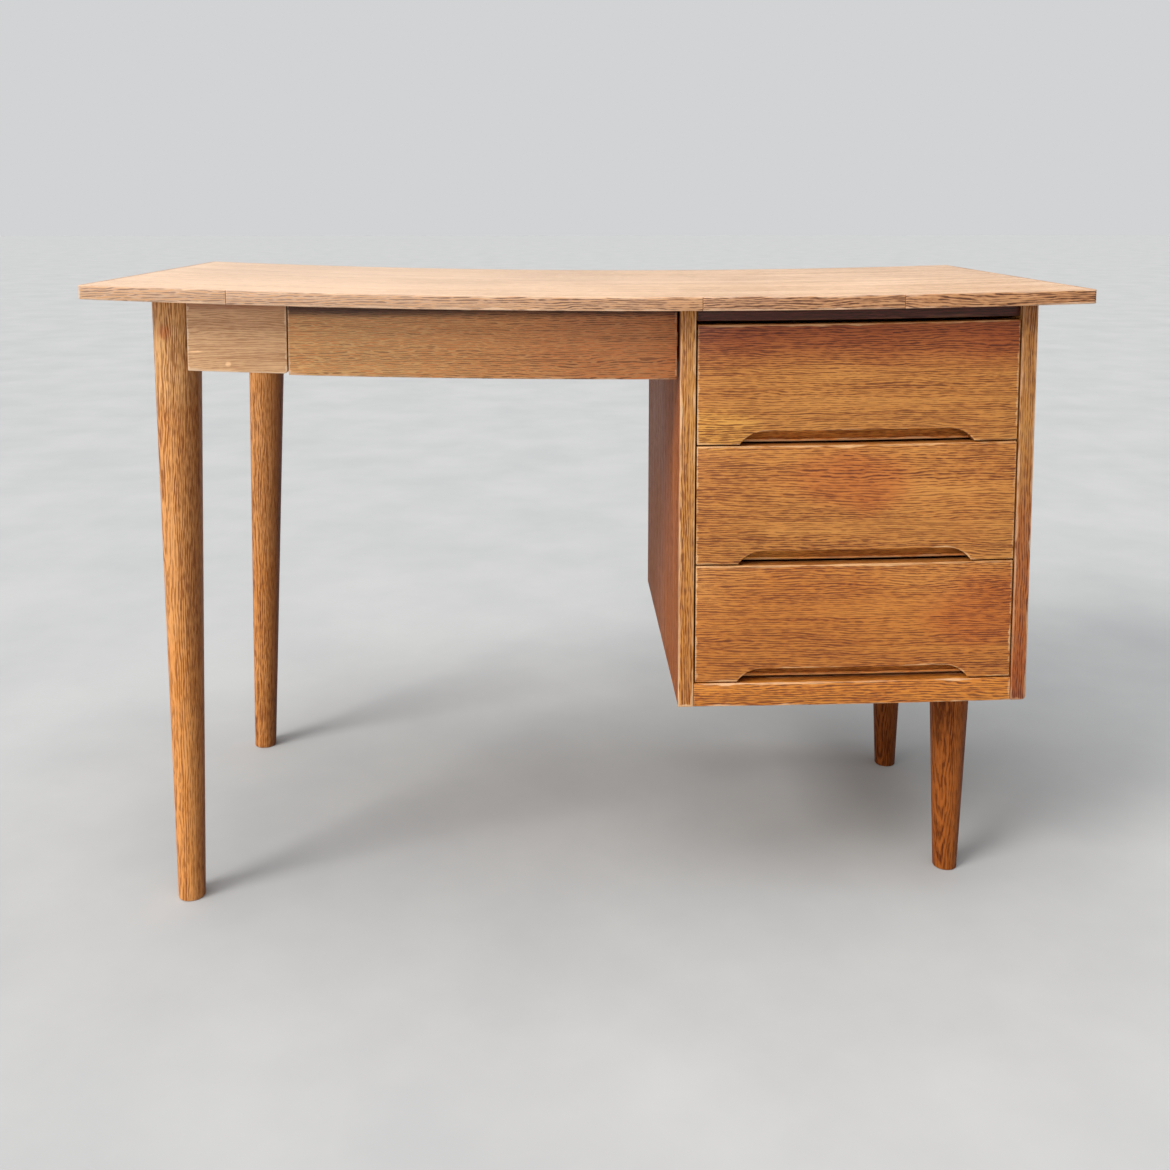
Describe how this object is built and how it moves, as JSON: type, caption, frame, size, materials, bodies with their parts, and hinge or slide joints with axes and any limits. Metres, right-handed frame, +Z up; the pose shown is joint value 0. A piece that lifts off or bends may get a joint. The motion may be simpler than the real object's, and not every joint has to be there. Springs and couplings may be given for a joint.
{
  "type": "writing desk with drawers",
  "caption": "Writing desk with a drawer pedestal on the right, a shallow centre drawer, finger-pull drawer fronts and round tapered legs.",
  "frame": {"origin": "on the floor, under the middle of the tabletop", "axes": "+Z up, +X along the width towards the pedestal, -Y towards the person sitting at the desk"},
  "size_m": [1.15, 0.55, 0.75],
  "materials": {
    "oak_top": "pale oak veneer under worn satin varnish, long grain along the width",
    "oak_veneer": "golden oak veneer under satin varnish",
    "oak_solid": "solid oak lipping and rails under satin varnish",
    "oak_leg": "turned solid oak, orange-brown, satin varnish",
    "drawer_wood": "plain unvarnished hardwood",
    "plywood": "thin unvarnished plywood",
    "steel": "plain zinc-plated bolt"
  },
  "bodies": {
    "desk": {"back_apron": "oak_veneer", "bottom_drawer_runner_left": "drawer_wood", "bottom_drawer_runner_right": "drawer_wood", "centre_drawer_runner_left": "drawer_wood", "centre_drawer_runner_right": "drawer_wood", "corner_brace_front": "drawer_wood", "corner_brace_rear": "drawer_wood", "drawer_hanger": "drawer_wood", "front_panel": "oak_veneer", "left_apron": "oak_veneer", "leg_batten": "drawer_wood", "leg_bolt_front": "steel", "leg_bolt_rear": "steel", "leg_front_left": "oak_leg", "leg_front_right": "oak_leg", "leg_rear_left": "oak_leg", "leg_rear_right": "oak_leg", "middle_drawer_runner_left": "drawer_wood", "middle_drawer_runner_right": "drawer_wood", "pedestal_back": "plywood", "pedestal_bottom": "oak_veneer", "pedestal_bottom_rail": "oak_solid", "pedestal_left_lipping": "oak_solid", "pedestal_left_side": "oak_veneer", "pedestal_rear_rail": "drawer_wood", "pedestal_right_lipping": "oak_solid", "pedestal_right_side": "oak_veneer", "pedestal_top_rail": "oak_solid", "tabletop": "oak_top", "top_drawer_runner_left": "drawer_wood", "top_drawer_runner_right": "drawer_wood", "top_edge_back": "oak_solid", "top_edge_front": "oak_solid", "top_edge_left": "oak_solid", "top_edge_right": "oak_solid"},
    "top_drawer": {"top_drawer_back": "drawer_wood", "top_drawer_bottom": "plywood", "top_drawer_front": "oak_veneer", "top_drawer_grip_rail": "oak_solid", "top_drawer_left_side": "drawer_wood", "top_drawer_right_side": "drawer_wood"},
    "middle_drawer": {"middle_drawer_back": "drawer_wood", "middle_drawer_bottom": "plywood", "middle_drawer_front": "oak_veneer", "middle_drawer_grip_rail": "oak_solid", "middle_drawer_left_side": "drawer_wood", "middle_drawer_right_side": "drawer_wood"},
    "bottom_drawer": {"bottom_drawer_back": "drawer_wood", "bottom_drawer_bottom": "plywood", "bottom_drawer_front": "oak_veneer", "bottom_drawer_grip_rail": "oak_solid", "bottom_drawer_left_side": "drawer_wood", "bottom_drawer_right_side": "drawer_wood"},
    "centre_drawer": {"centre_drawer_back": "drawer_wood", "centre_drawer_bottom": "plywood", "centre_drawer_front": "oak_veneer", "centre_drawer_left_side": "drawer_wood", "centre_drawer_right_side": "drawer_wood"}
  },
  "joints": [
    {"name": "top_drawer_slide", "type": "slide", "parent": "desk", "child": "top_drawer", "axis": [0, -1, 0], "range_m": [0, 0.33]},
    {"name": "middle_drawer_slide", "type": "slide", "parent": "desk", "child": "middle_drawer", "axis": [0, -1, 0], "range_m": [0, 0.33]},
    {"name": "bottom_drawer_slide", "type": "slide", "parent": "desk", "child": "bottom_drawer", "axis": [0, -1, 0], "range_m": [0, 0.33]},
    {"name": "centre_drawer_slide", "type": "slide", "parent": "desk", "child": "centre_drawer", "axis": [0, -1, 0], "range_m": [0, 0.285]}
  ]
}
